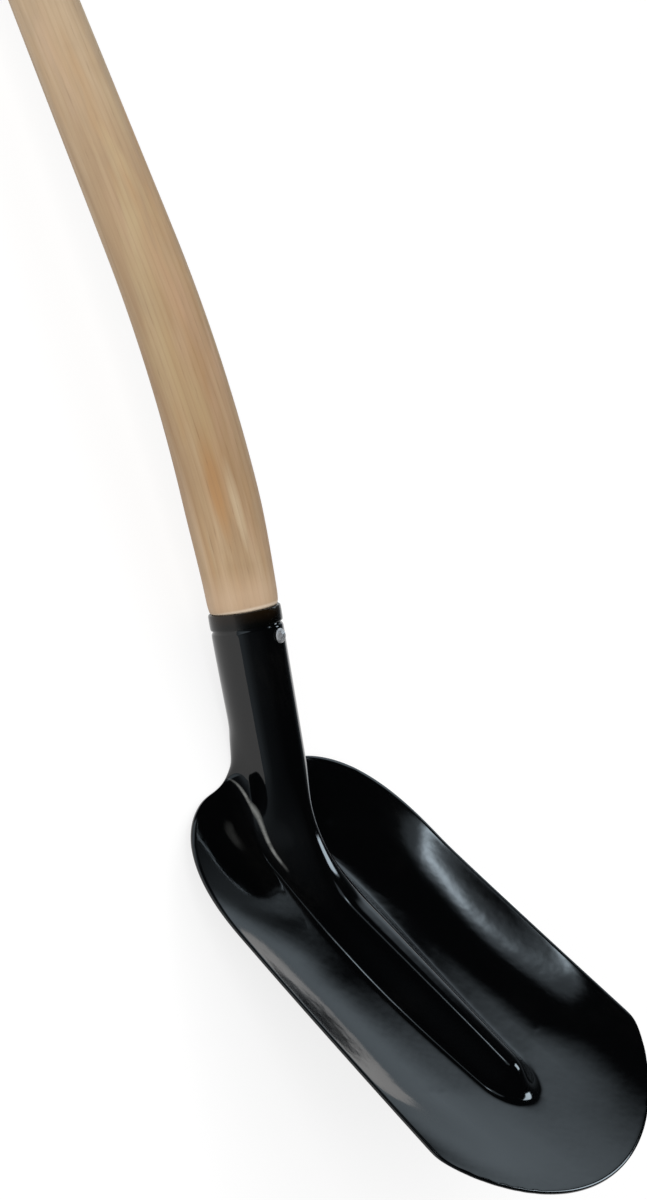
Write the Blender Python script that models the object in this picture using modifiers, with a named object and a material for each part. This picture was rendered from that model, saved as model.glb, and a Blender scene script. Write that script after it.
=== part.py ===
"""Round-front scoop shovel: a pressed steel sheet that is both pan and rolled socket, on a bent ash handle.

Metres, +Z up. The pieces are modelled in the blade's own frame, with the origin under the heel, +Y to the
tip and +Z on the load side. One empty then tilts them together, so that the shovel lies on its heel and on
the end of its handle, as it does when it is put down with the pan facing up.
"""

import math

import bmesh
import bpy
import numpy as np
from mathutils import Matrix, Vector

# Sheet and clearances
SHEET = 0.0018
CLEARANCE = 0.0003

# Pan, seen square to its floor: half widths, places along Y and rim heights over the floor
PAN_LENGTH = 0.2990
SHOULDER_HALF_WIDTH = 0.1146
SHOULDER_Y = 0.076
SHOULDER_DROP = 0.0954
SHOULDER_SQUARENESS = 0.8
SHOULDER_START_SHARE = 0.18
FRONT_HALF_WIDTH = 0.1260
FRONT_CORNER_Y = 0.2360
FRONT_CORNER_RADIUS = 0.016
SHOULDER_PAST_BEND = 0.020
NECK_HALF_WIDTH = 0.016
NECK_RIM_HEIGHT = 0.0175
SHOULDER_RIM_HEIGHT = 0.0142
FRONT_RIM_HEIGHT = 0.0208
TIP_RIM_HEIGHT = 0.0162
WALL_RUN = 0.070
WALL_FOOT_SOFTNESS = 0.7
TIP_RISE_START_Y = 0.120
TIP_RISE_POWER = 1.8
SIDE_RISE_POWER = 1.2
WALL_FADES_FROM = 0.55

# Flute, the hump that runs from the socket down the middle of the pan
FLUTE_NOSE_Y = 0.238
FLUTE_NOSE_HEIGHT = 0.0095
FLUTE_RISE = math.radians(2.0)
FLUTE_HALF_WIDTH = 0.034
FLUTE_WIDEST_Y = 0.090
FLUTE_NOSE_HALF_WIDTH = 0.027
FLUTE_CREST_SHARE = 0.10
FLUTE_BEND_RADIUS = 0.100
MOST_FLUTE_SHARE = 0.75
LEAST_FLOOR_SHARE = 0.05

# Socket, rolled from the same sheet, with its open seam at the back
SOCKET_RADIUS = 0.02175
SOCKET_HEEL_RADIUS = 0.0207
SOCKET_LIFT = math.radians(39.7)
SOCKET_AXIS_Y = 0.0018
SOCKET_AXIS_Z = 0.0194
SOCKET_LENGTH = 0.1135
SEAM_HALF_GAP = 0.0012
SEAM_OPENS_AT = 0.045
NECK_LEAVES_SEAM = 0.020
NECK_JOINS_SHOULDER = 0.024
NECK_SPREAD = 0.005
NECK_BLEND_BEFORE = 0.008
NECK_BLEND_AFTER = 0.036
ROUND_REACH = 0.55
FLARE_REACH = 0.20

# Ring round the socket's drawn-in mouth
RING_HEIGHT = 0.0095
RING_WALL = 0.0012
RING_PROUD = 0.0002
MOUTH_TAPER = 0.0025
EDGE_SHARE = 0.35

# Handle
TENON_LENGTH = 0.084
HANDLE_LENGTH = 1.300
HANDLE_BEND_ANGLE = math.radians(13.3)
HANDLE_BEND_RADIUS = 0.940
HANDLE_KICK_ANGLE = math.radians(1.2)
HANDLE_KICK_RADIUS = 0.480
HANDLE_SHOULDER_RADIUS = 0.02135
HANDLE_SWELL_RADIUS = 0.0229
HANDLE_SWELL_PLACE = 0.065
HANDLE_GRIP_RADIUS = 0.018
HANDLE_GRIP_PLACE = 0.560
HANDLE_CHAMFER = 0.003
HANDLE_END_ROUNDING = 0.009
HANDLE_END_TURN = math.radians(74.0)
HANDLE_STEP = 0.0001
TENON_TIP_RADIUS = 0.0155
TENON_TIP_CHAMFER = 0.0015

# Screw through the socket wall into the tenon
SCREW_FROM_RING = 0.0035
SCREW_HEAD_RADIUS = 0.0046
SCREW_HEAD_HEIGHT = 0.0027
SCREW_SHANK_RADIUS = 0.0020
SCREW_LENGTH = 0.022
SCREW_POINT_LENGTH = 0.004
SCREW_SLOT_WIDTH = 0.0011
SCREW_SLOT_DEPTH = 0.0012
SCREW_SLOT_TURN = math.radians(35.0)

# Facets
HUMP_COLUMNS = 9
FLOOR_COLUMNS = 4
WALL_COLUMNS = 7
MOUTH_ROWS = 3
SOCKET_ROWS = 6
BEND_ROWS = 24
FLUTE_ROWS = 10
NOSE_ROWS = 8
FRONT_ROWS = 8
HANDLE_SIDES = 32
BEND_STATIONS = 22
STRAIGHT_STATIONS = 16
END_STATIONS = 5
TURNED_STEPS = 48
HEAD_STEPS = 6
HOLE_SIDES = 32
SHARP_ANGLE = math.radians(40.0)

# Working values: a cutter's overrun, the sheet's rows beside the hole, the distance that joins two points,
# and a search's steps and limit
CUTTER_OVERRUN = 0.010
HOLE_MARGIN = 0.0004
MERGE = 0.00001
HALVINGS = 50
STEEPEST_TILT = math.radians(60.0)


def clear_scene():
    for obj in list(bpy.data.objects):
        bpy.data.objects.remove(obj, do_unlink=True)
    for collection in list(bpy.data.collections):
        bpy.data.collections.remove(collection)


def new_collection(name):
    collection = bpy.data.collections.new(name)
    bpy.context.scene.collection.children.link(collection)
    return collection


def material(name, colour, roughness, metallic):
    mat = bpy.data.materials.new(name)
    mat.use_nodes = True
    shader = mat.node_tree.nodes["Principled BSDF"]
    shader.inputs["Base Color"].default_value = (*colour, 1.0)
    shader.inputs["Roughness"].default_value = roughness
    shader.inputs["Metallic"].default_value = metallic
    mat.diffuse_color = (*colour, 1.0)
    return mat


def smoothstep(value):
    clipped = np.clip(value, 0.0, 1.0)
    return clipped * clipped * (3.0 - 2.0 * clipped)


# Socket axis, in the YZ plane of the blade frame
AXIS_FOOT = Vector((0.0, SOCKET_AXIS_Y, SOCKET_AXIS_Z))
AXIS_DIRECTION = Vector((0.0, -math.cos(SOCKET_LIFT), math.sin(SOCKET_LIFT)))
AXIS_NORMAL = Vector((0.0, math.sin(SOCKET_LIFT), math.cos(SOCKET_LIFT)))
MOUTH_DEPTH = RING_WALL + CLEARANCE - RING_PROUD
MOUTH_RADIUS = SOCKET_RADIUS - MOUTH_DEPTH
TENON_RADIUS = MOUTH_RADIUS - SHEET - CLEARANCE
SCREW_PLACE = RING_HEIGHT + SCREW_FROM_RING + SCREW_HEAD_RADIUS
SCREW_HOLE_RADIUS = SCREW_SHANK_RADIUS + CLEARANCE


def axis_point(distance):
    """The point on the socket's axis this far from its foot, towards the mouth."""
    return AXIS_FOOT + AXIS_DIRECTION * distance


def floor_height(y):
    """The height of the pan's floor on the centre line: flat, then rising to the tip."""
    share = np.clip((y - TIP_RISE_START_Y) / (PAN_LENGTH - TIP_RISE_START_Y), 0.0, None)
    return TIP_RIM_HEIGHT * share**TIP_RISE_POWER


class CrestPath:
    """The top line of the socket and flute: straight, a bend, then straight again to the flute's nose."""

    def __init__(self):
        start = axis_point(SOCKET_LENGTH) + AXIS_NORMAL * SOCKET_RADIUS
        self.start = np.array([start.y, start.z])
        self.down = -SOCKET_LIFT
        self.along = FLUTE_RISE
        nose = np.array([FLUTE_NOSE_Y, floor_height(FLUTE_NOSE_Y) + FLUTE_NOSE_HEIGHT])
        first = np.array([math.cos(self.down), math.sin(self.down)])
        second = np.array([math.cos(self.along), math.sin(self.along)])
        reach = np.linalg.solve(np.column_stack([first, second]), nose - self.start)
        tangent = FLUTE_BEND_RADIUS * math.tan((self.along - self.down) / 2)
        self.first, self.second = first, second
        self.bend_starts = reach[0] - tangent
        self.bend_ends = self.bend_starts + FLUTE_BEND_RADIUS * (self.along - self.down)
        self.total = self.bend_ends + reach[1] - tangent

    def at(self, distance):
        """(y, z, slope angle) this far along from the mouth."""
        if distance <= self.bend_starts:
            place = self.start + self.first * distance
            return place[0], place[1], self.down
        turned = min(distance, self.bend_ends) - self.bend_starts
        angle = self.down + turned / FLUTE_BEND_RADIUS
        normal = np.array([-self.first[1], self.first[0]])
        centre = self.start + self.first * self.bend_starts + normal * FLUTE_BEND_RADIUS
        place = centre + FLUTE_BEND_RADIUS * np.array([math.sin(angle), -math.cos(angle)])
        if distance > self.bend_ends:
            place = place + self.second * (distance - self.bend_ends)
        return place[0], place[1], angle


class Outline:
    """Half of the pan's outline in plan: shoulder, slightly flared side, rounded corner and front arc."""

    def __init__(self):
        bulge = PAN_LENGTH - FRONT_CORNER_Y
        self.radius = (FRONT_HALF_WIDTH**2 + bulge**2) / (2 * bulge)
        self.centre = np.array([0.0, PAN_LENGTH - self.radius])
        side = np.array([FRONT_HALF_WIDTH - SHOULDER_HALF_WIDTH, FRONT_CORNER_Y - SHOULDER_Y])
        side = side / np.linalg.norm(side)
        outward = np.array([side[1], -side[0]])
        corner = np.array([FRONT_HALF_WIDTH, FRONT_CORNER_Y])
        inset = corner - outward * FRONT_CORNER_RADIUS
        gap = inset - self.centre
        along = gap @ side
        reach = -along - math.sqrt(along**2 - gap @ gap + (self.radius - FRONT_CORNER_RADIUS) ** 2)
        back = -along + math.sqrt(along**2 - gap @ gap + (self.radius - FRONT_CORNER_RADIUS) ** 2)
        self.fillet_centre = inset + side * max(reach, back)
        to_front = self.fillet_centre - self.centre
        to_front = to_front / np.linalg.norm(to_front)
        middle = outward + to_front
        self.corner = self.fillet_centre + FRONT_CORNER_RADIUS * middle / np.linalg.norm(middle)
        self.side_end_y = (self.fillet_centre + FRONT_CORNER_RADIUS * outward)[1]
        self.arc_end_x = (self.centre + self.radius * to_front)[0]
        self.flare = side[0] / side[1]

    def shoulder(self, share):
        """(x, y) on the shoulder: 0 at the neck, 1 where the straight side begins."""
        angle = share * math.pi / 2
        x = NECK_HALF_WIDTH + (SHOULDER_HALF_WIDTH - NECK_HALF_WIDTH) * math.sin(angle) ** SHOULDER_SQUARENESS
        y = SHOULDER_Y - SHOULDER_DROP * math.cos(angle) ** SHOULDER_SQUARENESS
        return x, y

    def side_x(self, y):
        if y <= self.side_end_y:
            return SHOULDER_HALF_WIDTH + self.flare * (y - SHOULDER_Y)
        rise = y - self.fillet_centre[1]
        return self.fillet_centre[0] + math.sqrt(FRONT_CORNER_RADIUS**2 - rise**2)

    def front_y(self, x):
        if x <= self.arc_end_x:
            return self.centre[1] + math.sqrt(self.radius**2 - x**2)
        run = x - self.fillet_centre[0]
        return self.fillet_centre[1] + math.sqrt(FRONT_CORNER_RADIUS**2 - run**2)

    def front_shape(self, share):
        """How far the front edge has fallen back from the tip, as a share of its fall at the corner."""
        fall = PAN_LENGTH - self.front_y(share * self.corner[0])
        return fall / (PAN_LENGTH - self.corner[1])


CREST = CrestPath()
OUTLINE = Outline()
SEAM_RUN = SOCKET_AXIS_Y - SOCKET_RADIUS * math.sin(SOCKET_LIFT) - (SHOULDER_Y - SHOULDER_DROP)
NECK_PLACE = SOCKET_LENGTH - SEAM_RUN / math.cos(SOCKET_LIFT)
OPEN_START = SOCKET_LENGTH - SEAM_OPENS_AT
SHOULDER_END = CREST.bend_ends + SHOULDER_PAST_BEND
SHOULDER_START = NECK_PLACE + SHOULDER_START_SHARE * (SHOULDER_END - NECK_PLACE)


def socket_radius(distance):
    """The tube's outer radius this far down from its mouth: drawn in under the ring, then a slow taper."""
    under_ring = RING_HEIGHT + CLEARANCE
    opened = float(smoothstep((distance - under_ring) / MOUTH_TAPER))
    tapered = min(max((distance - SCREW_PLACE) / (NECK_PLACE - SCREW_PLACE), 0.0), 1.0)
    return SOCKET_RADIUS - MOUTH_DEPTH * (1.0 - opened) - (SOCKET_RADIUS - SOCKET_HEEL_RADIUS) * tapered


def socket_section(distance):
    """Half of a round section, from the crest to the seam."""
    y, z, angle = CREST.at(distance)
    radius = socket_radius(distance)
    seam = math.pi - math.asin(SEAM_HALF_GAP / radius)
    front = np.linspace(0.0, math.pi / 2, HUMP_COLUMNS + 1)
    rear = np.linspace(math.pi / 2, seam, FLOOR_COLUMNS + WALL_COLUMNS + 1)[1:]
    theta = np.concatenate([front, rear])
    inset = MOUTH_DEPTH * (1.0 - float(smoothstep((distance - RING_HEIGHT - CLEARANCE) / MOUTH_TAPER)))
    depth = inset + radius * (1.0 - np.cos(theta))
    normal = np.array([-math.sin(angle), math.cos(angle)])
    return np.column_stack([radius * np.sin(theta), y - normal[0] * depth, z - normal[1] * depth])


def flute_half_width(y):
    """Half the flute's width at its root: the tube's at the heel, widest behind the middle, then narrower."""
    widening = smoothstep(y / FLUTE_WIDEST_Y)
    narrowing = smoothstep((y - FLUTE_WIDEST_Y) / (FLUTE_NOSE_Y - FLUTE_WIDEST_Y))
    wide = SOCKET_HEEL_RADIUS + (FLUTE_HALF_WIDTH - SOCKET_HEEL_RADIUS) * widening
    return wide + (FLUTE_NOSE_HALF_WIDTH - FLUTE_HALF_WIDTH) * narrowing


def flute_shape(across, y, half_width):
    """The hump's height over the floor at one place, as a share of its height on the crest."""
    nose_centre = FLUTE_NOSE_Y - FLUTE_NOSE_HALF_WIDTH
    past = np.maximum(y - nose_centre, 0.0)
    ratio = np.hypot(across, past) / half_width
    return 1.0 - smoothstep((ratio - FLUTE_CREST_SHARE) / (1.0 - FLUTE_CREST_SHARE))


def crest_height(y):
    """The flute's crest over the floor at a place along Y, held level past the nose."""
    low, high = 0.0, CREST.total
    for _ in range(HALVINGS):
        middle = (low + high) / 2
        if CREST.at(middle)[0] < y:
            low = middle
        else:
            high = middle
    return CREST.at(high)[1] - floor_height(y)


def wall_shape(share):
    """The side wall's rise from its foot, 0, to its rim, 1, with a soft foot."""
    soft = WALL_FOOT_SOFTNESS
    rise = np.sqrt(np.clip(share, 0.0, None) ** 2 + soft**2) - soft
    return rise / (math.sqrt(1.0 + soft**2) - soft)


def pan_section(centre_y, edge, edge_height, front_share):
    """Half of a section across the pan, from the centre line to a point on the outline."""
    edge_x, edge_y = edge
    root = min(float(flute_half_width(centre_y)), MOST_FLUTE_SHARE * edge_x)
    foot = max(edge_x - WALL_RUN, root + LEAST_FLOOR_SHARE * (edge_x - root))
    across = np.concatenate([
        np.linspace(0.0, root, HUMP_COLUMNS + 1),
        np.linspace(root, foot, FLOOR_COLUMNS + 1)[1:],
        np.linspace(foot, edge_x, WALL_COLUMNS + 1)[1:],
    ])
    share = across / edge_x
    shape = np.array([OUTLINE.front_shape(value) for value in share])
    along = centre_y + (edge_y - centre_y) * shape
    floor = float(floor_height(centre_y))
    wall = wall_shape((across - foot) / (edge_x - foot))
    rise = (1.0 - front_share) * wall + front_share * share**2
    height = floor + (edge_height - floor) * rise
    height = height + max(crest_height(centre_y), 0.0) * flute_shape(across, along, root)
    return np.column_stack([across, along, height])


def blade_rows():
    """Sections of the sheet from the socket's mouth to the tip."""
    ring_foot = RING_HEIGHT + CLEARANCE
    rows = [socket_section(0.0), socket_section(ring_foot / 2)]
    for step in range(MOUTH_ROWS + 1):
        rows.append(socket_section(ring_foot + MOUTH_TAPER * step / MOUTH_ROWS))
    below_screw = SCREW_PLACE + SCREW_HOLE_RADIUS + HOLE_MARGIN
    rows.append(socket_section(below_screw - 2 * (SCREW_HOLE_RADIUS + HOLE_MARGIN)))
    for distance in np.linspace(below_screw, OPEN_START, SOCKET_ROWS):
        rows.append(socket_section(distance))
    for distance in np.linspace(OPEN_START, SHOULDER_END, BEND_ROWS + 1)[1:]:
        rows.append(neck_section(distance))
    first_y = CREST.at(SHOULDER_END)[0]
    nose_start = FLUTE_NOSE_Y - FLUTE_NOSE_HALF_WIDTH
    y = first_y
    for end, count in ((nose_start, FLUTE_ROWS), (FLUTE_NOSE_Y, NOSE_ROWS), (PAN_LENGTH, FRONT_ROWS)):
        begin = y
        for step in range(1, count + 1):
            y = begin + (end - begin) * step / count
            rows.append(side_section(y, first_y))
    return np.array(rows)


def neck_edge(distance):
    """The sheet's free edge: along the seam, out through the neck, then round the shoulder."""
    if distance >= SHOULDER_START:
        x, y = OUTLINE.shoulder((distance - NECK_PLACE) / (SHOULDER_END - NECK_PLACE))
        settled = float(smoothstep((distance - SHOULDER_START) / (SHOULDER_END - SHOULDER_START)))
        return np.array([x, y, NECK_RIM_HEIGHT + (SHOULDER_RIM_HEIGHT - NECK_RIM_HEIGHT) * settled])
    start = socket_section(OPEN_START)[-1]
    x, y = OUTLINE.shoulder(SHOULDER_START_SHARE)
    end = np.array([x, y, NECK_RIM_HEIGHT])
    leave = start - np.array(AXIS_DIRECTION) * NECK_LEAVES_SEAM + np.array([NECK_SPREAD, 0.0, 0.0])
    join = end - np.array([NECK_JOINS_SHOULDER, 0.0, 0.0])
    share = (distance - OPEN_START) / (SHOULDER_START - OPEN_START)
    return bezier(start, leave, join, end, share)


def bezier(start, leave, join, end, share):
    back = 1.0 - share
    return back**3 * start + 3 * back**2 * share * leave + 3 * back * share**2 * join + share**3 * end


def flare_section(distance):
    """Half of a section that is round in front and opens out behind, to the free edge."""
    y, z, angle = CREST.at(distance)
    radius = socket_radius(distance)
    normal = np.array([0.0, -math.sin(angle), math.cos(angle)])
    side = np.array([radius, y, z]) - normal * radius
    edge = neck_edge(distance)
    share = float(smoothstep((distance - OPEN_START) / (SHOULDER_START - OPEN_START)))
    turn = math.pi * (1.0 - share**2)
    reach = radius * (ROUND_REACH - (ROUND_REACH - FLARE_REACH) * share)
    arrive = np.array([math.cos(turn), 0.0, 0.0]) - normal * math.sin(turn)
    theta = np.linspace(0.0, math.pi / 2, HUMP_COLUMNS + 1)
    depth = radius * (1.0 - np.cos(theta))
    front = np.column_stack([radius * np.sin(theta), y - normal[1] * depth, z - normal[2] * depth])
    shares = np.linspace(0.0, 1.0, FLOOR_COLUMNS + WALL_COLUMNS + 1)[1:]
    leave = side - normal * reach
    join = edge - arrive * reach
    rear = np.array([bezier(side, leave, join, edge, value) for value in shares])
    return np.vstack([front, rear])


def neck_section(distance):
    """A section where the tube opens out into the pan's shoulders."""
    blend_start = NECK_PLACE - NECK_BLEND_BEFORE
    blend_end = NECK_PLACE + NECK_BLEND_AFTER
    into_pan = float(smoothstep((distance - blend_start) / (blend_end - blend_start)))
    if into_pan <= 0.0:
        return flare_section(distance)
    edge = neck_edge(distance)
    pan = pan_section(CREST.at(distance)[0], edge[:2], edge[2], 0.0)
    if into_pan >= 1.0:
        return pan
    return (1.0 - into_pan) * flare_section(distance) + into_pan * pan


def side_section(y, first_y):
    """A section between the shoulders and the tip, bowed forward more and more like the front edge."""
    share = (y - first_y) / (PAN_LENGTH - first_y)
    edge_y = SHOULDER_Y + (OUTLINE.corner[1] - SHOULDER_Y) * share
    edge = (OUTLINE.side_x(edge_y), edge_y)
    side_share = (edge_y - SHOULDER_Y) / (OUTLINE.corner[1] - SHOULDER_Y)
    edge_height = SHOULDER_RIM_HEIGHT + (FRONT_RIM_HEIGHT - SHOULDER_RIM_HEIGHT) * side_share**SIDE_RISE_POWER
    front_share = float(smoothstep((share - WALL_FADES_FROM) / (1.0 - WALL_FADES_FROM)))
    return pan_section(y, edge, edge_height, front_share)


def loft(name, rows):
    """A sheet with one quad between each pair of neighbouring points of neighbouring rows."""
    count, width = rows.shape[:2]
    points = [tuple(point) for row in rows for point in row]
    faces = []
    for i in range(count - 1):
        for j in range(width - 1):
            corner = i * width + j
            faces.append((corner, corner + 1, corner + width + 1, corner + width))
    mesh = bpy.data.meshes.new(name)
    mesh.from_pydata(points, [], faces)
    mesh.update()
    return mesh


def add_object(name, mesh, collection, mat=None):
    obj = bpy.data.objects.new(name, mesh)
    collection.objects.link(obj)
    if mat:
        mesh.materials.append(mat)
    return obj


def cut(target, cutter, operation="DIFFERENCE"):
    modifier = target.modifiers.new(cutter.name, "BOOLEAN")
    modifier.operation = operation
    modifier.solver = "EXACT"
    modifier.object = cutter


def frame_on_socket(distance, up):
    """A frame on the socket's axis with Z along up, and X to the side."""
    side = Vector((1.0, 0.0, 0.0))
    forward = up.cross(side)
    rotation = Matrix((side, forward, up)).transposed().to_4x4()
    return Matrix.Translation(axis_point(distance)) @ rotation


def make_blade(parts, mat):
    mesh = loft("blade_with_socket", blade_rows())
    blade = add_object("blade_with_socket", mesh, parts, mat)
    mirror = blade.modifiers.new("Other half", "MIRROR")
    mirror.use_axis = (True, False, False)
    mirror.use_mirror_merge = True
    mirror.merge_threshold = MERGE
    wall = blade.modifiers.new("Sheet", "SOLIDIFY")
    wall.thickness = SHEET
    wall.offset = -1.0
    wall.use_even_offset = True
    mesh.shade_smooth()
    mesh.set_sharp_from_angle(angle=SHARP_ANGLE)
    return blade


def turned(name, profile, collection, mat, closed):
    """A turned solid about its local Z, from (radius, height) points that run down the outer side."""
    mesh = bpy.data.meshes.new(name)
    points = [(radius, 0.0, height) for radius, height in profile]
    edges = [(i, i + 1) for i in range(len(points) - 1)]
    if closed:
        edges.append((len(points) - 1, 0))
    mesh.from_pydata(points, edges, [])
    obj = add_object(name, mesh, collection, mat)
    screw = obj.modifiers.new("Turn", "SCREW")
    screw.steps = TURNED_STEPS
    screw.render_steps = TURNED_STEPS
    screw.use_merge_vertices = True
    screw.merge_threshold = MERGE
    screw.use_smooth_shade = True
    return obj


def make_ring(parts, mat):
    inner = MOUTH_RADIUS + CLEARANCE
    outer = inner + RING_WALL
    edge = RING_WALL * EDGE_SHARE
    profile = [
        (inner, RING_HEIGHT),
        (outer - edge, RING_HEIGHT),
        (outer, RING_HEIGHT - edge),
        (outer, edge),
        (outer - edge, 0.0),
        (inner, 0.0),
    ]
    ring = turned("socket_ring", profile, parts, mat, closed=True)
    ring.matrix_world = frame_on_socket(SOCKET_LENGTH - RING_HEIGHT, AXIS_DIRECTION)
    return ring


def handle_radius(distance):
    """The handle's radius this far above its shoulder: a swell over the socket, then a slow taper."""
    if distance <= HANDLE_SWELL_PLACE:
        share = float(smoothstep(distance / HANDLE_SWELL_PLACE))
        return HANDLE_SHOULDER_RADIUS + (HANDLE_SWELL_RADIUS - HANDLE_SHOULDER_RADIUS) * share
    share = min((distance - HANDLE_SWELL_PLACE) / (HANDLE_GRIP_PLACE - HANDLE_SWELL_PLACE), 1.0)
    return HANDLE_SWELL_RADIUS + (HANDLE_GRIP_RADIUS - HANDLE_SWELL_RADIUS) * share


def handle_line(distance):
    """The point on the handle's centre line this far above its shoulder."""
    shoulder = axis_point(SOCKET_LENGTH + CLEARANCE)
    y, z, angle = shoulder.y, shoulder.z, SOCKET_LIFT
    left = distance
    for radius, turn in ((HANDLE_KICK_RADIUS, HANDLE_KICK_ANGLE), (HANDLE_BEND_RADIUS, HANDLE_BEND_ANGLE)):
        taken = min(left, radius * turn)
        swept = taken / radius
        y -= radius * (math.sin(angle) - math.sin(angle - swept))
        z += radius * (math.cos(angle - swept) - math.cos(angle))
        angle -= swept
        left -= taken
    return Vector((0.0, y - left * math.cos(angle), z + left * math.sin(angle)))


def handle_stations():
    """(point, radius) down the whole stick, from the tenon's tip to the rounded end."""
    tip = SOCKET_LENGTH - TENON_LENGTH
    middle = axis_point(SOCKET_LENGTH - SCREW_PLACE)
    stations = [
        (axis_point(tip), TENON_TIP_RADIUS - TENON_TIP_CHAMFER),
        (axis_point(tip + TENON_TIP_CHAMFER), TENON_TIP_RADIUS),
        (middle, TENON_RADIUS),
        (handle_line(0.0), TENON_RADIUS),
        (handle_line(HANDLE_STEP), HANDLE_SHOULDER_RADIUS - HANDLE_CHAMFER * EDGE_SHARE),
        (handle_line(HANDLE_CHAMFER), HANDLE_SHOULDER_RADIUS),
    ]
    top = HANDLE_LENGTH - TENON_LENGTH
    bend = HANDLE_KICK_RADIUS * HANDLE_KICK_ANGLE + HANDLE_BEND_RADIUS * HANDLE_BEND_ANGLE
    distances = list(np.linspace(HANDLE_CHAMFER, bend, BEND_STATIONS)[1:])
    distances += list(np.linspace(bend, top - HANDLE_END_ROUNDING, STRAIGHT_STATIONS)[1:])
    stations += [(handle_line(value), handle_radius(value)) for value in distances]
    for step in range(1, END_STATIONS + 1):
        angle = HANDLE_END_TURN * step / END_STATIONS
        rise = HANDLE_END_ROUNDING * math.sin(angle) / math.sin(HANDLE_END_TURN)
        radius = HANDLE_GRIP_RADIUS - HANDLE_END_ROUNDING * (1.0 - math.cos(angle))
        stations.append((handle_line(top - HANDLE_END_ROUNDING + rise), radius))
    return stations


def make_handle(parts, mat):
    curve = bpy.data.curves.new("handle", "CURVE")
    curve.dimensions = "3D"
    curve.twist_mode = "Z_UP"
    curve.bevel_depth = 1.0
    curve.bevel_resolution = (HANDLE_SIDES - 4) // 2
    curve.use_fill_caps = True
    spline = curve.splines.new("POLY")
    stations = handle_stations()
    spline.points.add(len(stations) - 1)
    for point, (place, radius) in zip(spline.points, stations):
        point.co = (*place, 1.0)
        point.radius = radius
    guide = bpy.data.objects.new("handle_line", curve)
    parts.objects.link(guide)
    graph = bpy.context.evaluated_depsgraph_get()
    mesh = bpy.data.meshes.new_from_object(guide.evaluated_get(graph))
    solid = bmesh.new()
    solid.from_mesh(mesh)
    bmesh.ops.remove_doubles(solid, verts=solid.verts, dist=MERGE)
    bmesh.ops.recalc_face_normals(solid, faces=solid.faces)
    solid.to_mesh(mesh)
    solid.free()
    handle = bpy.data.objects.new("handle", mesh)
    handle.matrix_world = guide.matrix_world
    bpy.data.objects.remove(guide, do_unlink=True)
    mesh.name = "handle"
    mesh.materials.append(mat)
    parts.objects.link(handle)
    mesh.shade_smooth()
    mesh.set_sharp_from_angle(angle=SHARP_ANGLE)
    return handle


def make_screw(parts, mat):
    """A round-head wood screw with a slot, its head seated on the socket's crest."""
    points = [(0.0, SCREW_HEAD_HEIGHT)]
    for step in range(1, HEAD_STEPS + 1):
        angle = math.pi / 2 * step / HEAD_STEPS
        points.append((SCREW_HEAD_RADIUS * math.sin(angle), SCREW_HEAD_HEIGHT * math.cos(angle)))
    points.append((SCREW_SHANK_RADIUS, 0.0))
    points.append((SCREW_SHANK_RADIUS, SCREW_POINT_LENGTH - SCREW_LENGTH))
    points.append((0.0, -SCREW_LENGTH))
    screw = turned("fixing_screw", points, parts, mat, closed=False)
    seat = SOCKET_RADIUS + CLEARANCE
    screw.matrix_world = screw_frame(seat)
    return screw


def screw_frame(height):
    """The screw's frame, this far out from the socket's axis, with Z out of the load side."""
    frame = frame_on_socket(SOCKET_LENGTH - SCREW_PLACE, AXIS_NORMAL)
    return frame @ Matrix.Translation((0.0, 0.0, height))


def cylinder_cutter(name, low, high, cutters):
    """A round cutter on the screw's axis, with the screw hole's radius, from one height to another."""
    mesh = bpy.data.meshes.new(name)
    solid = bmesh.new()
    bmesh.ops.create_cone(
        solid, cap_ends=True, segments=HOLE_SIDES, radius1=SCREW_HOLE_RADIUS, radius2=SCREW_HOLE_RADIUS,
        depth=high - low,
        matrix=Matrix.Translation((0.0, 0.0, (low + high) / 2)),
    )
    solid.to_mesh(mesh)
    solid.free()
    cutter = add_object(name, mesh, cutters)
    cutter.matrix_world = screw_frame(0.0)
    return cutter


def make_cutters(cutters):
    outside = SOCKET_RADIUS + CUTTER_OVERRUN
    through_wall = cylinder_cutter("screw_hole", SOCKET_RADIUS - CUTTER_OVERRUN, outside, cutters)
    bottom = SOCKET_RADIUS - SCREW_LENGTH - CLEARANCE
    pilot = cylinder_cutter("pilot_hole", bottom, outside, cutters)
    mesh = bpy.data.meshes.new("screw_slot")
    solid = bmesh.new()
    bmesh.ops.create_cube(solid, size=1.0)
    length = 2 * (SCREW_HEAD_RADIUS + CUTTER_OVERRUN)
    bmesh.ops.scale(solid, vec=(length, SCREW_SLOT_WIDTH, CUTTER_OVERRUN), verts=solid.verts)
    slot_floor = SOCKET_RADIUS + CLEARANCE + SCREW_HEAD_HEIGHT - SCREW_SLOT_DEPTH
    bmesh.ops.translate(solid, vec=(0.0, 0.0, slot_floor + CUTTER_OVERRUN / 2), verts=solid.verts)
    solid.to_mesh(mesh)
    solid.free()
    slot = add_object("screw_slot", mesh, cutters)
    slot.matrix_world = screw_frame(0.0) @ Matrix.Rotation(SCREW_SLOT_TURN, 4, "Z")
    for cutter in (through_wall, pilot, slot):
        cutter.hide_render = True
        cutter.display_type = "WIRE"
    return through_wall, pilot, slot


def world_points(obj, graph):
    evaluated = obj.evaluated_get(graph)
    mesh = evaluated.to_mesh()
    points = np.empty(len(mesh.vertices) * 3, np.float32)
    mesh.vertices.foreach_get("co", points)
    world = np.array(evaluated.matrix_world)
    points = points.reshape(-1, 3) @ world[:3, :3].T + world[:3, 3]
    evaluated.to_mesh_clear()
    return points


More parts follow.
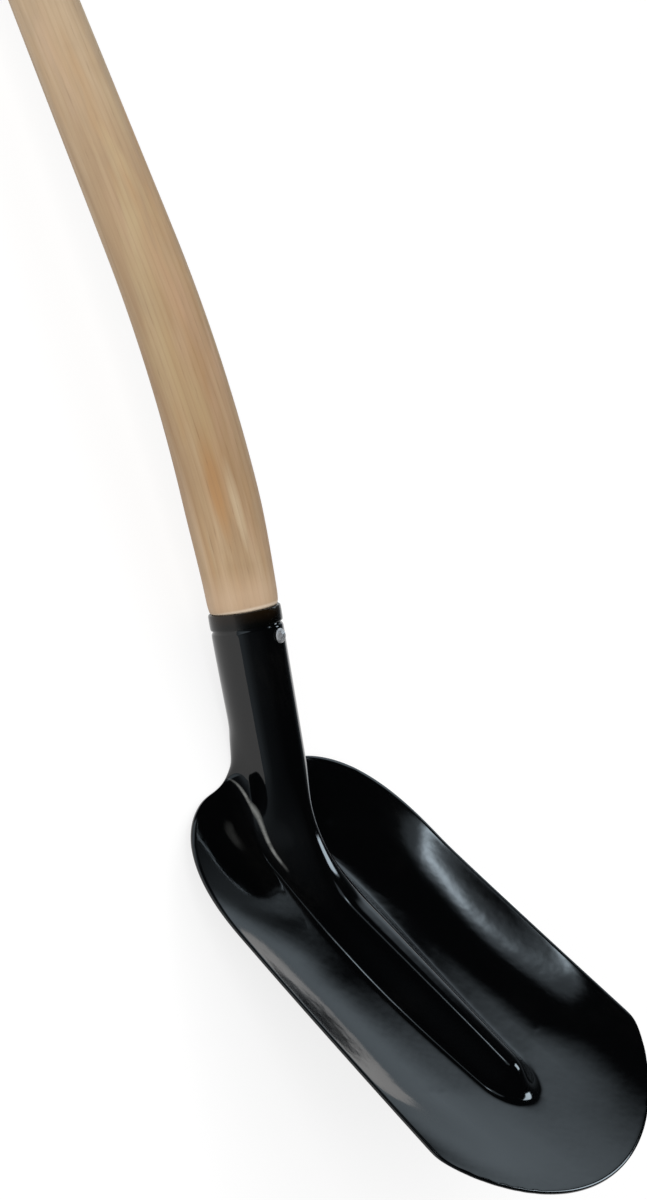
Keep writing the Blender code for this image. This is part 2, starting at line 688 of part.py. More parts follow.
def lay_down(pieces, head, stick):
    """Tilts the pieces with an empty onto the heel and the handle's end, centred on the origin."""
    bpy.context.view_layer.update()
    graph = bpy.context.evaluated_depsgraph_get()
    head_points = world_points(head, graph)
    stick_points = world_points(stick, graph)

    def heights(points, tilt):
        return points[:, 1] * math.sin(tilt) + points[:, 2] * math.cos(tilt)

    low, high = 0.0, STEEPEST_TILT
    for _ in range(HALVINGS):
        tilt = (low + high) / 2
        if heights(stick_points, tilt).min() > heights(head_points, tilt).min():
            low = tilt
        else:
            high = tilt
    rotation = Matrix.Rotation(tilt, 4, "X")
    every = np.vstack([head_points, stick_points])
    turned_y = every[:, 1] * math.cos(tilt) - every[:, 2] * math.sin(tilt)
    lift = -heights(every, tilt).min()
    shift = -(turned_y.min() + turned_y.max()) / 2
    pose = bpy.data.objects.new("lying_pose", None)
    bpy.context.scene.collection.objects.link(pose)
    pose.matrix_world = Matrix.Translation((0.0, shift, lift)) @ rotation
    for piece in pieces:
        piece.parent = pose
    bpy.context.view_layer.update()


def main():
    clear_scene()
    parts = new_collection("scoop_shovel")
    cutters = new_collection("cutters")
    paint = material("black_lacquered_steel", (0.012, 0.013, 0.014), 0.28, 0.0)
    ring_paint = material("black_lacquered_ring", (0.014, 0.012, 0.010), 0.30, 0.0)
    ash = material("ash_wood", (0.46, 0.33, 0.19), 0.55, 0.0)
    zinc = material("zinc_plated_steel", (0.62, 0.63, 0.65), 0.35, 1.0)

    blade = make_blade(parts, paint)
    ring = make_ring(parts, ring_paint)
    handle = make_handle(parts, ash)
    screw = make_screw(parts, zinc)
    through_wall, pilot, slot = make_cutters(cutters)
    cut(blade, through_wall)
    cut(handle, pilot)
    cut(screw, slot)
    lay_down([blade, ring, handle, screw, through_wall, pilot, slot], blade, handle)


main()
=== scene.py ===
"""Scoop shovel, dressed for the picture: gloss black pressed steel, pale ash and a zinc-plated screw."""

import functools
import math

import bpy
import numpy as np
from mathutils import Euler, Matrix, Vector


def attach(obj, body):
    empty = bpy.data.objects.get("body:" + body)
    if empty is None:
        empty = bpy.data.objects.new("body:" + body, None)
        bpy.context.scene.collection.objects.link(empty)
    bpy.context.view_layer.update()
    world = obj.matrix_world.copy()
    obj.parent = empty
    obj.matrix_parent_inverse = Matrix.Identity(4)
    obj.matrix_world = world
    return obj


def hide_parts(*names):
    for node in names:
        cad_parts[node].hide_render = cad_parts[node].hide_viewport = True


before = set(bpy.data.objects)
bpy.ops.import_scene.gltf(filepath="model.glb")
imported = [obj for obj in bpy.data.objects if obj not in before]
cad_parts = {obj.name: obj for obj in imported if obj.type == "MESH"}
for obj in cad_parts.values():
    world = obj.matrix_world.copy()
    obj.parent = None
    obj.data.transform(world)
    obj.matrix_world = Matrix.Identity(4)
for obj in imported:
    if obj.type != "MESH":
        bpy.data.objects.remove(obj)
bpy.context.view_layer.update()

# Camera, at the photograph's viewing angle
CAMERA_PLACE = (1.4702, 0.4231, 1.0373)
CAMERA_TURN = tuple(math.radians(angle) for angle in (27.672, -52.345, 146.234))
CAMERA_LENS = 90.0
CAMERA_FILM = 36.0
CAMERA_REACH = 100.0

# Floor and soft light. The floor is a mid grey, which its glow makes white to camera, gloss and glass
FLOOR_SIZE = 30.0
FLOOR_COLOUR = (0.25, 0.25, 0.25, 1.0)
FLOOR_SEEN = 0.78
FLOOR_TO_OBJECT = 0.50
SKY_LEVEL = 0.62
WHITE = (1.0, 1.0, 1.0, 1.0)
HEAD = (0.0, 0.65, 0.06)
KEY_BOX = dict(direction=(-0.47, -0.53, 0.71), distance=3.0, size=(1.2, 1.2), power=6.0)
TOP_BOX = dict(direction=(0.75, -0.10, 0.65), distance=3.5, size=(2.4, 2.4), power=70.0)

# Room round the floor, which shows in gloss only. Its grey levels are places on a ramp, each with its level
ROOM_RADIUS = 100.0
ROOM_TINT = (0.84, 1.0, 1.12, 1.0)
GLOW_BEHIND_CAMERA = ((0.0, 0.0), (0.4, 0.03), (0.65, 0.05), (0.82, 0.07), (0.93, 0.17), (1.0, 0.30))
WALL_WHITE = ((0.0, 0.42), (0.165, 0.79), (0.29, 0.91), (0.42, 0.80))
GLOW_OVER_WALL = ((0.0, 0.12), (0.17, 0.10), (0.35, 0.02), (0.5, 0.006))

# Edges in the room. A slanted one is its azimuth, steepness and fade, and an upright one its azimuth and fade
WALL_TOPS = ((-98.5, 0.764, 0.10), (-82.7, 1.28, 0.08))
CORNER_FOOT = (-168.0, 0.12, 0.06)
CORNER_START = (90.0, 0.03)
CORNER_END = (-167.0, 0.12)
NEAR_BOX = dict(
    low=(-187.9, 1.621, 0.04), high=(-133.0, 1.38, 0.03), start=(-142.0, 0.06), end=(-125.0, 0.03)
)
FAR_BOX = dict(
    low=(-168.0, 0.60, 0.04), high=(-168.0, 0.88, 0.04), start=(177.5, 0.04), end=(-164.5, 0.04)
)
HOT_CORE = dict(azimuth=-130.8, elevation=46.0, spread=1.4)
NEAR_BOX_LEVEL = 0.55
FAR_BOX_LEVEL = 6.0
HOT_CORE_LEVEL = 8.0

# Wood grain: its attribute, the line through the stick's slices, and growth rings round a pith outside it
GRAIN = "grain"
GRAIN_SLICE = 0.004
GRAIN_SLICE_LEAST = 12
GRAIN_LINE_DEGREE = 9
GRAIN_LINE_STEPS = 2000
RING_Y = 0.4187
PITH = (0.045, -0.030)
RING_PERIOD = 0.0034
RING_WANDER = 0.0016
GRAIN_RUN_OUT = 0.012
SLOW_STRETCH = (1.0, 0.13, 1.0)
QUICK_STRETCH = (1.0, 0.045, 1.0)

# Wood colours. A blotch is its noise's offset, scale, range and share, and a patch its middle, size and share
ASH_TONES = ((0.28, (0.350, 0.225, 0.122)), (0.50, (0.420, 0.285, 0.160)), (0.72, (0.500, 0.362, 0.225)))
BLOTCHES = (
    (0.0, 48.0, 0.50, 0.68, 0.75, (0.440, 0.262, 0.120, 1.0)),
    (3.1, 40.0, 0.52, 0.70, 0.60, (0.555, 0.372, 0.250, 1.0)),
    (7.7, 44.0, 0.52, 0.72, 0.65, (0.520, 0.415, 0.235, 1.0)),
    (5.3, 90.0, 0.55, 0.75, 0.55, (0.330, 0.235, 0.150, 1.0)),
)
PATCHES = (
    ((0.0200, 0.076, 0.0105), (0.0060, 0.034, 0.0060), 0.85, (0.450, 0.245, 0.100, 1.0)),
    ((0.0135, 0.060, 0.0185), (0.0028, 0.028, 0.0040), 0.60, (0.640, 0.530, 0.370, 1.0)),
    ((0.0170, 0.120, 0.0150), (0.0050, 0.030, 0.0060), 0.35, (0.500, 0.390, 0.200, 1.0)),
)
RING_BROWNING = (0.300, 0.172, 0.082, 1.0)
PORE_COLOUR = (0.200, 0.115, 0.055, 1.0)
DRIED_COLOUR = (0.600, 0.490, 0.360, 1.0)
BEND_TAN = (0.240, 0.130, 0.055, 1.0)
END_COLOUR = (0.560, 0.400, 0.275, 1.0)
# Pale line on the shoulder's chamfer: lighter sawn wood and a painted highlight
CUT_AND_HIGHLIGHT_COLOUR = (0.700, 0.580, 0.450, 1.0)
GRIME_COLOUR = (0.270, 0.200, 0.135, 1.0)

# Where these colours begin and end along the stick, in metres from the ring
DRIED_FROM_TO = (0.15, 0.65)
TAN_COMES = (0.03, 0.08)
TAN_GOES = (0.10, 0.32)
END_FROM_TO = (0.026, 0.010)
SHOULDER_CUT = 0.0005
CUT_FADE = 0.0012

# Lacquer: its colours, the draw marks, and the flute's folds in the V as a bow either side of the middle
LACQUER = (0.0009, 0.0010, 0.0012, 1.0)
DUST = (0.085, 0.080, 0.068, 1.0)
SMEAR_SHARE = 0.04
DRAW_STRETCH = (1.0, 0.08, 1.0)
# The fold's light grey line is a painted highlight, made matte like dust by its roughness
FOLD_PAINTED_HIGHLIGHT = (0.200, 0.206, 0.196, 1.0)
FOLD_HALF_WIDTH = 0.0195
FOLD_NARROWEST = 0.553
FOLD_BOW = 3.68
FOLD_LINE = (0.0001, 0.0008)
FOLD_REACH = (0.512, 0.570)
FOLD_FADE_OUTSIDE = 0.004
FOLD_FADE_INSIDE = 0.008

# Ring: its axis, the height of its upper edge along it, and its colours
SOCKET_AXIS = (0.0, -math.cos(math.radians(12.3)), math.sin(math.radians(12.3)))
RING_TOP = -0.4013
RING_BARE = (0.0075, 0.001)
RING_BLACK = (0.0010, 0.0010, 0.0008, 1.0)
RING_BROWN = (0.0085, 0.0045, 0.0014, 1.0)

# Screw
ZINC_TONES = ((0.35, (0.42, 0.43, 0.45)), (0.60, (0.64, 0.65, 0.67)))
ZINC_STAIN = (0.30, 0.27, 0.22, 1.0)

# Pieces
MERGE = 0.00001
QUAD_ANGLE = math.radians(60.0)
SHARP = math.radians(50.0)
EDGE_CREASE = 0.75
SCREW_CREASE = 0.9


def deselect_all():
    bpy.ops.object.select_all(action="DESELECT")


def select_only(obj):
    deselect_all()
    obj.select_set(True)
    bpy.context.view_layer.objects.active = obj


def edit_copy(node, name):
    """A copy of a CAD node's mesh as a new piece, merged and in quads."""
    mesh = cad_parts[node].data.copy()
    mesh.name = name
    mesh.materials.clear()
    piece = bpy.data.objects.new(name, mesh)
    bpy.context.scene.collection.objects.link(piece)
    select_only(piece)
    bpy.ops.object.mode_set(mode="EDIT")
    bpy.ops.mesh.select_all(action="SELECT")
    bpy.ops.mesh.remove_doubles(threshold=MERGE)
    bpy.ops.mesh.tris_convert_to_quads(face_threshold=QUAD_ANGLE, shape_threshold=QUAD_ANGLE)
    bpy.ops.mesh.select_all(action="DESELECT")
    bpy.ops.object.mode_set(mode="OBJECT")
    return piece


def crease_sharp_edges(piece, amount):
    select_only(piece)
    bpy.ops.object.mode_set(mode="EDIT")
    bpy.ops.mesh.select_mode(type="EDGE")
    bpy.ops.mesh.select_all(action="DESELECT")
    bpy.ops.mesh.edges_select_sharp(sharpness=SHARP)
    bpy.ops.transform.edge_crease(value=amount)
    bpy.ops.mesh.select_all(action="DESELECT")
    bpy.ops.object.mode_set(mode="OBJECT")


def smooth(piece, levels):
    select_only(piece)
    modifier = piece.modifiers.new("Smooth", "SUBSURF")
    modifier.levels = levels
    modifier.render_levels = levels
    bpy.ops.object.modifier_apply(modifier=modifier.name)
    bpy.ops.object.shade_smooth()


def smoothed_copy(node, name, crease=EDGE_CREASE, levels=2):
    """A new piece with a CAD node's shape, its sharp edges creased and its faces subdivided."""
    piece = edit_copy(node, name)
    crease_sharp_edges(piece, crease)
    smooth(piece, levels)
    return piece


class Shader:
    """A material's node tree, with short calls for the nodes that this scene uses."""

    def __init__(self, name):
        self.material = bpy.data.materials.new(name)
        self.material.use_nodes = True
        self.tree = self.material.node_tree
        self.principled = self.tree.nodes["Principled BSDF"]

    def node(self, kind, **settings):
        made = self.tree.nodes.new(kind)
        for key, value in settings.items():
            setattr(made, key, value)
        return made

    def link(self, source, target):
        self.tree.links.new(source, target)

    def set(self, **values):
        for key, value in values.items():
            self.principled.inputs[key.replace("_", " ")].default_value = value

    def drive(self, name, source):
        self.link(source, self.principled.inputs[name])

    def show(self, source):
        """Makes the source the material's surface."""
        self.link(source, self.tree.nodes["Material Output"].inputs["Surface"])

    def coordinates(self):
        return self.node("ShaderNodeTexCoord").outputs["Object"]

    def split(self, vector):
        parts = self.node("ShaderNodeSeparateXYZ")
        self.link(vector, parts.inputs["Vector"])
        return parts.outputs["X"], parts.outputs["Y"], parts.outputs["Z"]

    def stretched(self, vector, scale):
        mapping = self.node("ShaderNodeMapping")
        mapping.inputs["Scale"].default_value = scale
        self.link(vector, mapping.inputs["Vector"])
        return mapping.outputs["Vector"]

    def vector_math(self, operation, vector, constant=None):
        made = self.node("ShaderNodeVectorMath", operation=operation)
        self.link(vector, made.inputs[0])
        if constant is not None:
            made.inputs[1].default_value = constant
        return made.outputs

    def noise(self, vector, scale, detail=3.0, roughness=0.5, distortion=0.0):
        noise = self.node("ShaderNodeTexNoise")
        noise.inputs["Scale"].default_value = scale
        noise.inputs["Detail"].default_value = detail
        noise.inputs["Roughness"].default_value = roughness
        noise.inputs["Distortion"].default_value = distortion
        self.link(vector, noise.inputs["Vector"])
        return noise.outputs["Fac"]

    def ramp(self, value, stops):
        ramp = self.node("ShaderNodeValToRGB")
        elements = ramp.color_ramp.elements
        while len(elements) < len(stops):
            elements.new(0.5)
        for element, (position, colour) in zip(elements, stops):
            element.position = position
            element.color = (*colour, 1.0)
        self.link(value, ramp.inputs["Fac"])
        return ramp.outputs["Color"]

    def grey_ramp(self, value, stops):
        return self.ramp(value, [(position, (level,) * 3) for position, level in stops])

    def remap(self, value, low, high, to_low, to_high):
        remap = self.node("ShaderNodeMapRange")
        for key, number in zip(("From Min", "From Max", "To Min", "To Max"), (low, high, to_low, to_high)):
            remap.inputs[key].default_value = number
        self.link(value, remap.inputs["Value"])
        return remap.outputs["Result"]

    def blend(self, share, first, second):
        made = self.node("ShaderNodeMix", data_type="RGBA")
        self.link(share, made.inputs["Factor"])
        for name, value in (("A", first), ("B", second)):
            socket = next(each for each in made.inputs if each.name == name and each.type == "RGBA")
            if isinstance(value, tuple):
                socket.default_value = value
            else:
                self.link(value, socket)
        return next(each for each in made.outputs if each.type == "RGBA")

    def math(self, operation, first, second):
        made = self.node("ShaderNodeMath", operation=operation)
        for socket, value in zip(made.inputs, (first, second)):
            if isinstance(value, float):
                socket.default_value = value
            else:
                self.link(value, socket)
        return made.outputs["Value"]

    def mix(self, share, first, second):
        made = self.node("ShaderNodeMix", data_type="FLOAT")
        for key, value in (("Factor", share), ("A", first), ("B", second)):
            self.link(value, made.inputs[key])
        return made.outputs["Result"]

    def bump(self, height, strength, distance, after=None):
        bump = self.node("ShaderNodeBump")
        bump.inputs["Strength"].default_value = strength
        bump.inputs["Distance"].default_value = distance
        self.link(height, bump.inputs["Height"])
        if after:
            self.link(after, bump.inputs["Normal"])
        return bump.outputs["Normal"]


def where_all(shader, *shares):
    """The product of the shares: 1 where all of them are 1."""
    return functools.reduce(lambda first, second: shader.math("MULTIPLY", first, second), shares)


def opposite(shader, share):
    return shader.math("SUBTRACT", 1.0, share)


def black_lacquer():
    """Gloss black over pressed steel: slight orange peel, faint draw marks, and in the flute's fold a painted
    highlight line, matte like dust.
    """
    shader = Shader("black_lacquer")
    shader.set(Metallic=0.0, IOR=1.5)
    place = shader.coordinates()
    drawn = shader.stretched(place, DRAW_STRETCH)
    marks = shader.noise(drawn, scale=420.0, detail=4.0, roughness=0.6)
    cloud = shader.noise(place, scale=14.0, detail=4.0)
    clouded = shader.remap(cloud, 0.50, 0.75, 0.0, 1.0)
    smeared = shader.math("MULTIPLY", clouded, shader.remap(marks, 0.4, 0.7, 0.2, 1.0))
    fold = fold_dust_and_highlight(shader, place)
    dusty = shader.blend(shader.math("MULTIPLY", smeared, SMEAR_SHARE), LACQUER, DUST)
    # The fold's light grey is a painted highlight, and its mask also makes the lacquer matte there
    shader.drive("Base Color", shader.blend(fold, dusty, FOLD_PAINTED_HIGHLIGHT))

    polish = shader.remap(cloud, 0.3, 0.7, 0.050, 0.075)
    rough = shader.math("ADD", polish, shader.math("MULTIPLY", smeared, 0.05))
    shader.drive("Roughness", shader.math("ADD", rough, shader.math("MULTIPLY", fold, 0.5)))

    peel = shader.bump(shader.noise(place, 240.0, 2.0), strength=0.05, distance=0.00012)
    wave = shader.bump(shader.noise(place, 60.0, 2.0), strength=0.10, distance=0.0005, after=peel)
    shader.drive("Normal", shader.bump(marks, strength=0.03, distance=0.00008, after=wave))
    return shader.material


def fold_dust_and_highlight(shader, place):
    """1 on a thin line along each side of the flute's foot, in the V under the socket, and 0 elsewhere. The
    line is a painted highlight, matte like dust.
    """
    across, along, _ = shader.split(place)
    past = shader.math("ADD", along, -FOLD_NARROWEST)
    bow = shader.math("MULTIPLY", shader.math("MULTIPLY", past, past), FOLD_BOW)
    side = shader.math("SUBTRACT", shader.math("ABSOLUTE", across, 0.0), FOLD_HALF_WIDTH)
    off = shader.math("ABSOLUTE", shader.math("SUBTRACT", side, bow), 0.0)
    line = shader.remap(off, *FOLD_LINE, 1.0, 0.0)
    start, end = FOLD_REACH
    begun = shader.remap(along, start - FOLD_FADE_OUTSIDE, start + FOLD_FADE_INSIDE, 0.0, 1.0)
    ended = shader.remap(along, end - FOLD_FADE_INSIDE, end + FOLD_FADE_OUTSIDE, 1.0, 0.0)
    broken = shader.remap(shader.noise(place, scale=260.0), 0.35, 0.55, 0.55, 1.0)
    return where_all(shader, line, begun, ended, broken)


def ring_lacquer():
    """The band's thinner black, browner towards its upper edge, with finely rolled marks."""
    shader = Shader("ring_lacquer")
    place = shader.coordinates()
    shader.set(Metallic=0.0, IOR=1.4)
    up = shader.vector_math("DOT_PRODUCT", place, SOCKET_AXIS)["Value"]
    cloud = shader.noise(place, scale=90.0, detail=4.0)
    edge = shader.math("ADD", up, shader.remap(cloud, 0.3, 0.7, -0.0012, 0.0012))
    bare = shader.remap(edge, RING_TOP - RING_BARE[0], RING_TOP - RING_BARE[1], 0.0, 1.0)
    shader.drive("Base Color", shader.blend(bare, RING_BLACK, RING_BROWN))
    shader.drive("Roughness", shader.remap(cloud, 0.3, 0.7, 0.16, 0.30))
    rolled = shader.noise(place, scale=700.0)
    shader.drive("Normal", shader.bump(rolled, strength=0.15, distance=0.0001))
    return shader.material


def early_wood(shader, place, slow):
    """1 where a year's soft, early wood begins, fading to 0 through it, round a pith outside the stick."""
    across, along, depth = shader.split(place)
    to_pith = shader.node("ShaderNodeCombineXYZ")
    shader.link(shader.math("ADD", across, -PITH[0]), to_pith.inputs["X"])
    shader.link(shader.math("ADD", depth, -PITH[1]), to_pith.inputs["Z"])
    radius = shader.vector_math("LENGTH", to_pith.outputs["Vector"])["Value"]
    wander = shader.remap(shader.noise(slow, scale=26.0), 0.0, 1.0, -RING_WANDER, RING_WANDER)
    run_out = shader.math("MULTIPLY", along, GRAIN_RUN_OUT)
    reach = shader.math("ADD", shader.math("ADD", radius, wander), run_out)
    phase = shader.math("FRACT", shader.math("DIVIDE", reach, RING_PERIOD), 0.0)
    return shader.remap(phase, 0.0, 0.35, 1.0, 0.0)


def blotched(shader, colour, slow):
    """The colour with long soft blotches."""
    for offset, scale, low, high, share, tint in BLOTCHES:
        shifted = shader.vector_math("ADD", slow, (offset, offset, offset))["Vector"]
        blotch = shader.noise(shifted, scale, detail=3.0, roughness=0.55, distortion=0.6)
        colour = shader.blend(shader.remap(blotch, low, high, 0.0, share), colour, tint)
    return colour


def patched(shader, colour, place, slow):
    """The colour with single patches by the bend, whose edges are ragged."""
    ragged = shader.remap(shader.noise(slow, scale=160.0), 0.0, 1.0, -0.5, 0.5)
    for centre, size, share, tint in PATCHES:
        off = shader.node("ShaderNodeMapping", vector_type="TEXTURE")
        off.inputs["Location"].default_value = centre
        off.inputs["Scale"].default_value = size
        shader.link(place, off.inputs["Vector"])
        far = shader.vector_math("LENGTH", off.outputs["Vector"])["Value"]
        spread = shader.math("ADD", far, ragged)
        colour = shader.blend(shader.remap(spread, 0.35, 1.15, share, 0.0), colour, tint)
    return colour


def weathered(shader, colour, place):
    """The colour drier up the stick, tanned at the bend, changed by the ring, paler at the chamfered shoulder
    with a painted highlight, and grimy.
    """
    _, along, _ = shader.split(place)
    colour = shader.blend(shader.remap(along, *DRIED_FROM_TO, 0.0, 0.62), colour, DRIED_COLOUR)
    comes = shader.remap(along, *TAN_COMES, 0.0, 1.0)
    goes = shader.remap(along, *TAN_GOES, 0.33, 0.0)
    colour = shader.blend(shader.math("MULTIPLY", comes, goes), colour, BEND_TAN)
    colour = shader.blend(shader.remap(along, *END_FROM_TO, 0.0, 0.50), colour, END_COLOUR)
    # Paler at the shoulder's chamfer: lighter sawn wood, brightened further as a painted highlight
    cut_and_highlight = shader.remap(along, SHOULDER_CUT + CUT_FADE, SHOULDER_CUT, 0.0, 0.80)
    colour = shader.blend(cut_and_highlight, colour, CUT_AND_HIGHLIGHT_COLOUR)
    grime = shader.remap(shader.noise(place, scale=30.0, detail=4.0), 0.52, 0.80, 0.0, 0.20)
    return shader.blend(grime, colour, GRIME_COLOUR)


def ash_wood():
    """Ash along the bent stick: growth rings, long blotches, open pores, a dry end and a sawn shoulder whose
    paler wood carries a painted highlight.
    """
    shader = Shader("ash_wood")
    shader.set(Metallic=0.0, IOR=1.45)
    place = shader.node("ShaderNodeAttribute", attribute_name=GRAIN).outputs["Vector"]
    slow = shader.stretched(place, SLOW_STRETCH)
    quick = shader.stretched(place, QUICK_STRETCH)
    early = early_wood(shader, place, slow)
    streaks = shader.noise(quick, scale=150.0, detail=5.0, roughness=0.62, distortion=0.4)

    colour = shader.ramp(streaks, ASH_TONES)
    colour = blotched(shader, colour, slow)
    colour = patched(shader, colour, place, slow)
    colour = shader.blend(shader.math("MULTIPLY", early, 0.30), colour, RING_BROWNING)
    pores = shader.remap(shader.noise(quick, scale=1300.0, detail=2.0), 0.60, 0.72, 0.0, 1.0)
    shown = shader.math("MULTIPLY", pores, shader.remap(early, 0.0, 1.0, 0.10, 0.50))
    colour = shader.blend(shown, colour, PORE_COLOUR)
    shader.drive("Base Color", weathered(shader, colour, place))

    shader.drive("Roughness", shader.remap(streaks, 0.3, 0.7, 0.62, 0.48))
    fibre = shader.bump(streaks, strength=0.25, distance=0.00025)
    closed = opposite(shader, pores)
    shader.drive("Normal", shader.bump(closed, strength=0.35, distance=0.00012, after=fibre))
    return shader.material


def mark_grain(handle):
    """Stores on each vertex its place in the stick: across, along from the ring, and depth."""
    mesh = handle.data
    points = np.empty(len(mesh.vertices) * 3, np.float32)
    mesh.vertices.foreach_get("co", points)
    points = points.reshape(-1, 3).astype(float)
    slices = np.round(points[:, 1] / GRAIN_SLICE).astype(int)
    ys, zs = [], []
    for index in np.unique(slices):
        inside = points[slices == index]
        if len(inside) >= GRAIN_SLICE_LEAST:
            ys.append(inside[:, 1].mean())
            zs.append((inside[:, 2].min() + inside[:, 2].max()) / 2)
    line = np.polynomial.Polynomial.fit(ys, zs, GRAIN_LINE_DEGREE)
    slope = line.deriv()
    grid = np.linspace(points[:, 1].min(), points[:, 1].max(), GRAIN_LINE_STEPS)
    run = np.concatenate([[0.0], np.cumsum(np.hypot(np.diff(grid), np.diff(line(grid))))])
    tilt = np.arctan(slope(points[:, 1]))
    off = points[:, 2] - line(points[:, 1])
    along = np.interp(points[:, 1], grid, run) + off * np.sin(tilt)
    stored = np.column_stack([points[:, 0], np.interp(RING_Y, grid, run) - along, off * np.cos(tilt)])
    grain = mesh.attributes.new(GRAIN, "FLOAT_VECTOR", "POINT")
    grain.data.foreach_set("vector", stored.astype(np.float32).ravel())


def zinc():
    """Zinc plate on the screw, faintly spangled and stained."""
    shader = Shader("zinc")
    place = shader.coordinates()
    shader.set(Metallic=0.7)
    cloud = shader.noise(place, scale=900.0, detail=4.0)
    spangle = shader.ramp(cloud, ZINC_TONES)
    stain = shader.remap(shader.noise(place, scale=350.0), 0.50, 0.70, 0.0, 0.40)
    shader.drive("Base Color", shader.blend(stain, spangle, ZINC_STAIN))
    shader.drive("Roughness", shader.remap(cloud, 0.3, 0.7, 0.34, 0.52))
    shader.drive("Normal", shader.bump(cloud, strength=0.2, distance=0.00005))
    return shader.material


def make_blade():
    blade = smoothed_copy("blade_with_socket", "steel_scoop")
    blade.data.materials.append(black_lacquer())
    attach(blade, "root")
    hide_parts("blade_with_socket")


def make_ring():
    ring = smoothed_copy("socket_ring", "mouth_ring")
    ring.data.materials.append(ring_lacquer())
    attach(ring, "root")
    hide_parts("socket_ring")


def make_handle():
    handle = smoothed_copy("handle", "ash_handle")
    mark_grain(handle)
    handle.data.materials.append(ash_wood())
    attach(handle, "root")
    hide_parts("handle")


def make_screw():
    screw = smoothed_copy("fixing_screw", "slotted_screw", crease=SCREW_CREASE, levels=1)
    screw.data.materials.append(zinc())
    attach(screw, "root")
    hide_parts("fixing_screw")


def seen_directly(tree):
    """1 for what the camera sees, straight or in gloss or glass, and 0 for what lights the object."""
    path = tree.nodes.new("ShaderNodeLightPath")
    total = path.outputs["Is Camera Ray"]
    for name in ("Is Glossy Ray", "Is Transmission Ray"):
        joined = tree.nodes.new("ShaderNodeMath")
        joined.operation = "MAXIMUM"
        tree.links.new(total, joined.inputs[0])
        tree.links.new(path.outputs[name], joined.inputs[1])
        total = joined.outputs[0]
    return total


def make_floor():
    """A floor that shows white, straight and in gloss, and keeps the object's shadow."""
    deselect_all()
    bpy.ops.mesh.primitive_plane_add(size=FLOOR_SIZE, location=(0.0, 0.0, 0.0))
    floor = bpy.context.object
    floor.name = "studio_floor"
    shader = Shader("studio_floor")
    shader.set(Base_Color=FLOOR_COLOUR, Roughness=0.9, Specular_IOR_Level=0.0)
    glow = shader.node("ShaderNodeEmission")
    level = shader.remap(seen_directly(shader.tree), 0.0, 1.0, FLOOR_TO_OBJECT, FLOOR_SEEN)
    shader.link(level, glow.inputs["Strength"])
    both = shader.node("ShaderNodeAddShader")
    shader.link(shader.principled.outputs["BSDF"], both.inputs[0])
    shader.link(glow.outputs["Emission"], both.inputs[1])
    shader.show(both.outputs["Shader"])
    floor.data.materials.append(shader.material)


def above_line(shader, direction, azimuth, steepness, fade):
    """0 below a slanted line in the room, 1 above it. The line is the edge of a plane through the pan. It
    rises to the steepness, as a tangent, towards the azimuth. The fade is its width in radians."""
    turn = math.radians(azimuth)
    normal = Vector((-steepness * math.cos(turn), -steepness * math.sin(turn), 1.0)).normalized()
    return side_of(shader, direction, normal, fade)


def past_azimuth(shader, direction, azimuth, fade):
    """0 clockwise of an upright plane through the pan, seen from above, and 1 on its other side."""
    turn = math.radians(azimuth)
    return side_of(shader, direction, Vector((-math.sin(turn), math.cos(turn), 0.0)), fade)


def side_of(shader, direction, normal, fade):
    """0 behind the plane through the pan with this normal, and 1 in front of it."""
    step = shader.node("ShaderNodeMapRange", interpolation_type="SMOOTHSTEP")
    step.inputs["From Min"].default_value = -fade / 2
    step.inputs["From Max"].default_value = fade / 2
    shader.link(shader.vector_math("DOT_PRODUCT", direction, normal)["Value"], step.inputs["Value"])
    return step.outputs["Result"]


def soft_box(shader, direction, low, high, start, end):
    """1 inside a soft box in the room, which lies between two slanted lines and two upright ones."""
    return where_all(
        shader,
        above_line(shader, direction, *low),
        past_azimuth(shader, direction, *start),
        opposite(shader, past_azimuth(shader, direction, *end)),
        opposite(shader, above_line(shader, direction, *high)),
    )


def spot(shader, direction, azimuth, elevation, spread):
    """A soft spot in the room: 1 at its middle, and a third at the spread, in degrees."""
    turn = math.radians(azimuth)
    rise = math.radians(elevation)
    middle = (math.cos(turn) * math.cos(rise), math.sin(turn) * math.cos(rise), math.sin(rise))
    facing = shader.vector_math("DOT_PRODUCT", direction, middle)["Value"]
    return shader.math("POWER", shader.math("MAXIMUM", facing, 0.0), 2.0 / math.radians(spread) ** 2)


def room_level(shader, direction):
    """The room's light: a white wall with a slanted top, dark above it and in a corner, and soft boxes."""
    toward_camera, _, height = shader.split(direction)
    behind_camera = shader.grey_ramp(toward_camera, GLOW_BEHIND_CAMERA)
    dark = shader.math("ADD", behind_camera, shader.grey_ramp(height, GLOW_OVER_WALL))
    white = shader.grey_ramp(height, WALL_WHITE)
    corner = where_all(
        shader,
        opposite(shader, past_azimuth(shader, direction, *CORNER_END)),
        above_line(shader, direction, *CORNER_FOOT),
        past_azimuth(shader, direction, *CORNER_START),
    )
    first, second = (above_line(shader, direction, *top) for top in WALL_TOPS)
    over = shader.math("MAXIMUM", first, second)
    wall = shader.mix(shader.math("MAXIMUM", over, corner), white, dark)

    near = shader.math("MULTIPLY", soft_box(shader, direction, **NEAR_BOX), NEAR_BOX_LEVEL)
    core = shader.math("MULTIPLY", spot(shader, direction, **HOT_CORE), HOT_CORE_LEVEL)
    far = shader.math("MULTIPLY", soft_box(shader, direction, **FAR_BOX), FAR_BOX_LEVEL)
    lit = shader.math("ADD", shader.math("ADD", near, core), far)
    return shader.math("ADD", wall, lit)


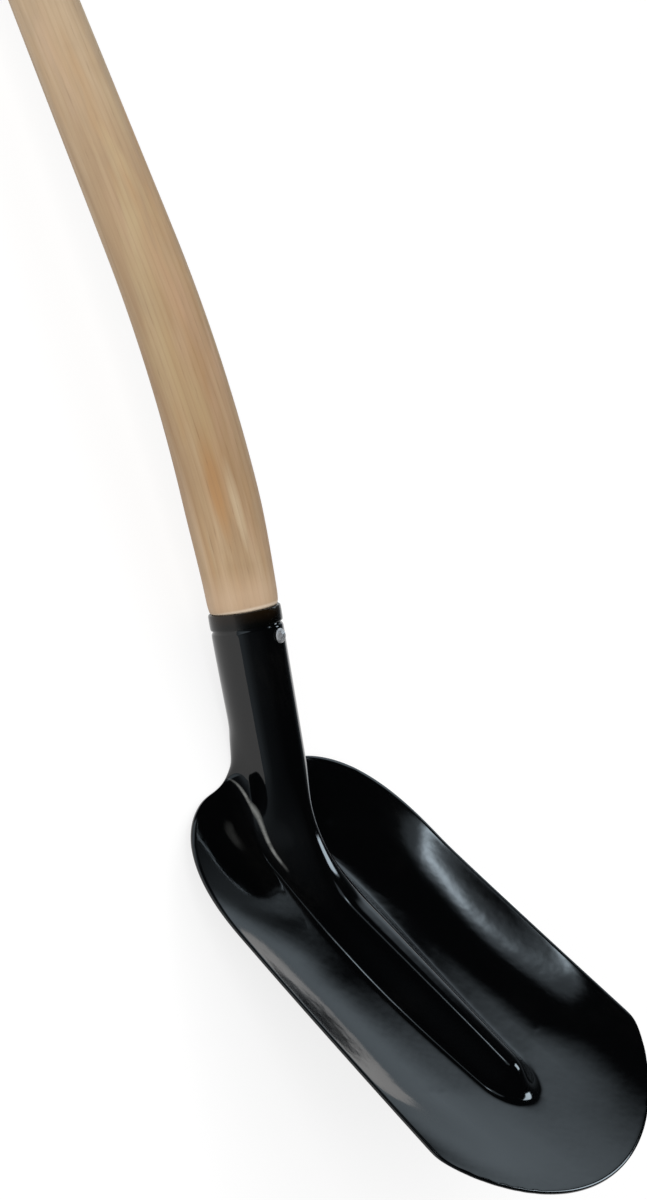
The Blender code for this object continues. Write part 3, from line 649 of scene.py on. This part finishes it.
def make_room():
    """The painted room, which only gloss sees. It hides the white world from gloss above the floor."""
    deselect_all()
    bpy.ops.mesh.primitive_uv_sphere_add(segments=64, ring_count=32, radius=ROOM_RADIUS)
    room = bpy.context.object
    room.name = "studio_room"
    room.data.transform(Matrix.Translation(HEAD))
    shader = Shader("studio_room")
    centred = shader.vector_math("SUBTRACT", shader.coordinates(), HEAD)["Vector"]
    direction = shader.vector_math("NORMALIZE", centred)["Vector"]
    glow = shader.node("ShaderNodeEmission")
    glow.inputs["Color"].default_value = ROOM_TINT
    shader.link(room_level(shader, direction), glow.inputs["Strength"])
    shader.show(glow.outputs["Emission"])
    room.data.materials.append(shader.material)
    room.visible_camera = False
    room.visible_diffuse = False
    room.visible_transmission = False
    room.visible_volume_scatter = False
    room.visible_shadow = False


def make_world():
    """White for what is seen directly, and a plain soft level for what lights the object."""
    world = bpy.data.worlds.new("studio")
    bpy.context.scene.world = world
    world.use_nodes = True
    tree = world.node_tree
    level = tree.nodes.new("ShaderNodeMapRange")
    level.inputs["To Min"].default_value = SKY_LEVEL
    level.inputs["To Max"].default_value = 1.0
    tree.links.new(seen_directly(tree), level.inputs["Value"])
    tree.links.new(level.outputs["Result"], tree.nodes["Background"].inputs["Strength"])
    tree.nodes["Background"].inputs["Color"].default_value = WHITE


def add_box_light(name, direction, distance, size, power):
    light = bpy.data.lights.new(name, "AREA")
    light.shape = "RECTANGLE"
    light.size, light.size_y = size
    light.energy = power
    lamp = bpy.data.objects.new(name, light)
    bpy.context.scene.collection.objects.link(lamp)
    aim = Vector(HEAD)
    lamp.location = aim + Vector(direction).normalized() * distance
    lamp.rotation_euler = (lamp.location - aim).to_track_quat("Z", "Y").to_euler()
    lamp.visible_glossy = False


def make_camera():
    camera = bpy.data.cameras.new("camera")
    camera.lens = CAMERA_LENS
    camera.sensor_fit = "VERTICAL"
    camera.sensor_height = CAMERA_FILM
    camera.clip_end = CAMERA_REACH
    obj = bpy.data.objects.new("camera", camera)
    bpy.context.scene.collection.objects.link(obj)
    obj.location = CAMERA_PLACE
    obj.rotation_euler = Euler(CAMERA_TURN)
    bpy.context.scene.camera = obj


make_camera()
make_blade()
make_ring()
make_handle()
make_screw()
make_floor()
make_room()
make_world()
add_box_light("key_box", **KEY_BOX)
add_box_light("top_box", **TOP_BOX)
bpy.context.scene.view_settings.view_transform = "Standard"
